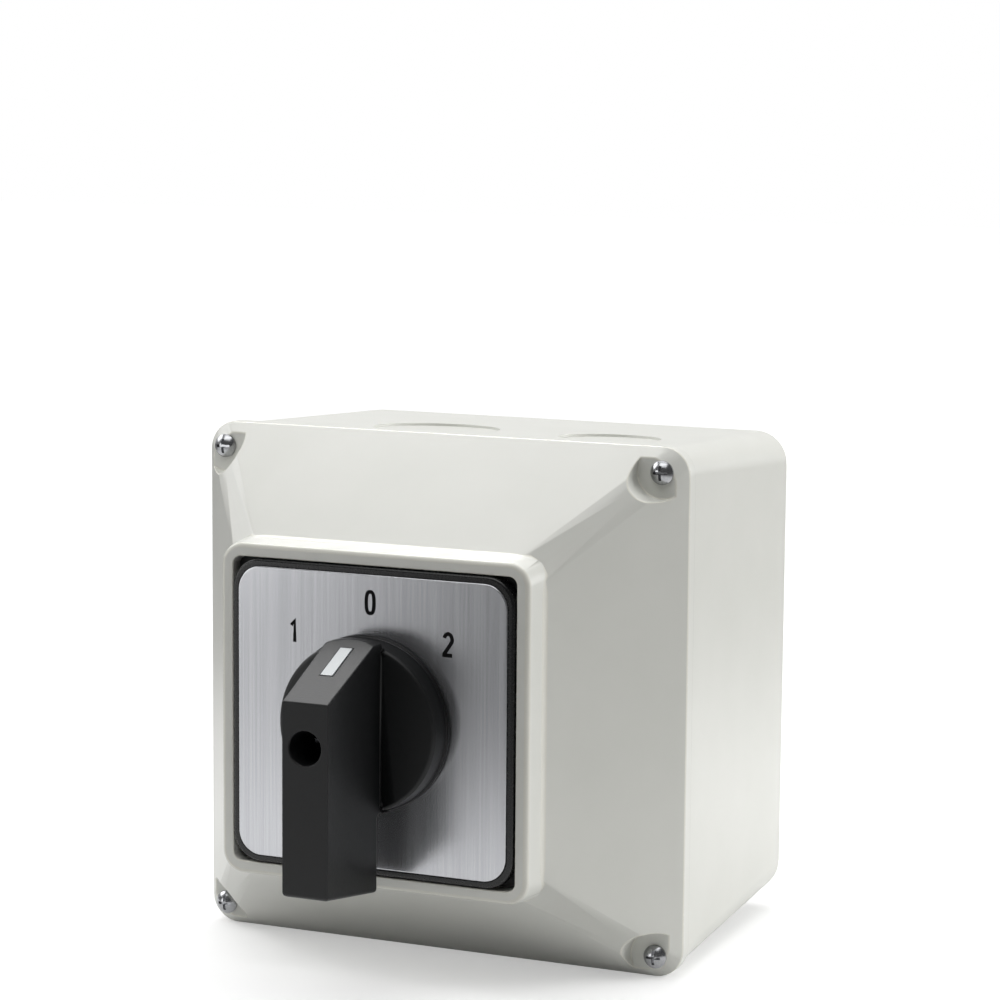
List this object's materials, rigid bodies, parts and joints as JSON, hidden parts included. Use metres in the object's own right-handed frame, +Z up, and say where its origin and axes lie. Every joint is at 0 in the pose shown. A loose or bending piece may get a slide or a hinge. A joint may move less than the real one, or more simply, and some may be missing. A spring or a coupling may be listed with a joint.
{
  "type": "enclosed rotary selector switch",
  "caption": "Surface-mounted rotary cam switch in a square plastic enclosure, with a lever knob on a brushed dial marked 1, 0 and 2.",
  "frame": {"origin": "centre of the back wall face, on the knob's axis", "axes": "+Y into the wall, along the knob's axis; the knob points to -Y; +Z up, the 0 of the dial on top"},
  "size_m": [0.11, 0.1273, 0.11],
  "materials": {
    "enclosure": "light grey ABS, moulded, semi-gloss",
    "rubber": "black rubber",
    "zinc_steel": "bright zinc-plated steel",
    "shaft_steel": "drawn steel",
    "spring_steel": "spring steel wire",
    "brass": "turned brass",
    "contact_copper": "copper alloy strip with silver tips",
    "frame_plastic": "black moulded plastic, satin",
    "knob_plastic": "black glass-filled nylon, fine eroded grain",
    "mark_plastic": "white inlay",
    "dial_aluminium": "brushed aluminium, brushed upright",
    "star_plastic": "green acetal",
    "deck_plastic": "black thermoset moulding",
    "cam_plastic": "cream acetal"
  },
  "bodies": {
    "enclosure": {"base_box": "enclosure", "front_cover": "enclosure", "cover_gasket": "rubber", "cover_screws": "zinc_steel", "screw_inserts": "brass", "faceplate_frame": "frame_plastic", "dial_plate": "dial_aluminium", "panel_gasket": "rubber", "panel_screws": "zinc_steel", "detent_housing": "deck_plastic", "detent_spring_top": "spring_steel", "detent_spring_bottom": "spring_steel", "deck_1": "deck_plastic", "deck_2": "deck_plastic", "deck_3": "deck_plastic", "fixed_contacts_1": "contact_copper", "fixed_contacts_2": "contact_copper", "fixed_contacts_3": "contact_copper", "spring_1_top": "spring_steel", "spring_1_bottom": "spring_steel", "spring_2_top": "spring_steel", "spring_2_bottom": "spring_steel", "spring_3_top": "spring_steel", "spring_3_bottom": "spring_steel", "terminal_screws": "zinc_steel", "clamp_washers": "zinc_steel", "end_plate": "deck_plastic", "tie_bolts": "zinc_steel", "tie_nuts": "zinc_steel"},
    "rotor": {"knob": "knob_plastic", "pointer_mark": "mark_plastic", "knob_screw": "zinc_steel", "shaft": "shaft_steel", "star_wheel": "star_plastic", "cam_1": "cam_plastic", "cam_2": "cam_plastic", "cam_3": "cam_plastic"},
    "detent_top": {"detent_plunger_top": "zinc_steel"},
    "detent_bottom": {"detent_plunger_bottom": "zinc_steel"},
    "contact_1_top": {"plunger_1_top": "cam_plastic", "bridge_1_top": "contact_copper"},
    "contact_1_bottom": {"plunger_1_bottom": "cam_plastic", "bridge_1_bottom": "contact_copper"},
    "contact_2_top": {"plunger_2_top": "cam_plastic", "bridge_2_top": "contact_copper"},
    "contact_2_bottom": {"plunger_2_bottom": "cam_plastic", "bridge_2_bottom": "contact_copper"},
    "contact_3_top": {"plunger_3_top": "cam_plastic", "bridge_3_top": "contact_copper"},
    "contact_3_bottom": {"plunger_3_bottom": "cam_plastic", "bridge_3_bottom": "contact_copper"}
  },
  "joints": [
    {"name": "knob_turn", "type": "hinge", "parent": "enclosure", "child": "rotor", "pos_m": [0, -0.0993, 0], "axis": [0, 1, 0], "range_deg": [-45, 45]},
    {"name": "detent_top_slide", "type": "slide", "parent": "enclosure", "child": "detent_top", "axis": [0, 0, -1], "range_m": [0, 0.0016], "deforming": ["detent_spring_top"]},
    {"name": "detent_bottom_slide", "type": "slide", "parent": "enclosure", "child": "detent_bottom", "axis": [0, 0, 1], "range_m": [0, 0.0016], "deforming": ["detent_spring_bottom"]},
    {"name": "contact_1_top_slide", "type": "slide", "parent": "enclosure", "child": "contact_1_top", "axis": [0, 0, 1], "range_m": [-0.0016, 0.0016], "deforming": ["spring_1_top"]},
    {"name": "contact_1_bottom_slide", "type": "slide", "parent": "enclosure", "child": "contact_1_bottom", "axis": [0, 0, -1], "range_m": [-0.0016, 0.0016], "deforming": ["spring_1_bottom"]},
    {"name": "contact_2_top_slide", "type": "slide", "parent": "enclosure", "child": "contact_2_top", "axis": [0, 0, 1], "range_m": [-0.0016, 0.0016], "deforming": ["spring_2_top"]},
    {"name": "contact_2_bottom_slide", "type": "slide", "parent": "enclosure", "child": "contact_2_bottom", "axis": [0, 0, -1], "range_m": [-0.0016, 0.0016], "deforming": ["spring_2_bottom"]},
    {"name": "contact_3_top_slide", "type": "slide", "parent": "enclosure", "child": "contact_3_top", "axis": [0, 0, 1], "range_m": [-0.0016, 0.0016], "deforming": ["spring_3_top"]},
    {"name": "contact_3_bottom_slide", "type": "slide", "parent": "enclosure", "child": "contact_3_bottom", "axis": [0, 0, -1], "range_m": [-0.0016, 0.0016], "deforming": ["spring_3_bottom"]}
  ],
  "couplings": [
    {"joint": "contact_1_top_slide", "follows": "knob_turn", "m_per_rad": -0.0020372},
    {"joint": "contact_1_bottom_slide", "follows": "knob_turn", "m_per_rad": 0.0020372},
    {"joint": "contact_2_top_slide", "follows": "knob_turn", "m_per_rad": -0.0020372},
    {"joint": "contact_2_bottom_slide", "follows": "knob_turn", "m_per_rad": 0.0020372},
    {"joint": "contact_3_top_slide", "follows": "knob_turn", "m_per_rad": -0.0020372},
    {"joint": "contact_3_bottom_slide", "follows": "knob_turn", "m_per_rad": 0.0020372}
  ]
}
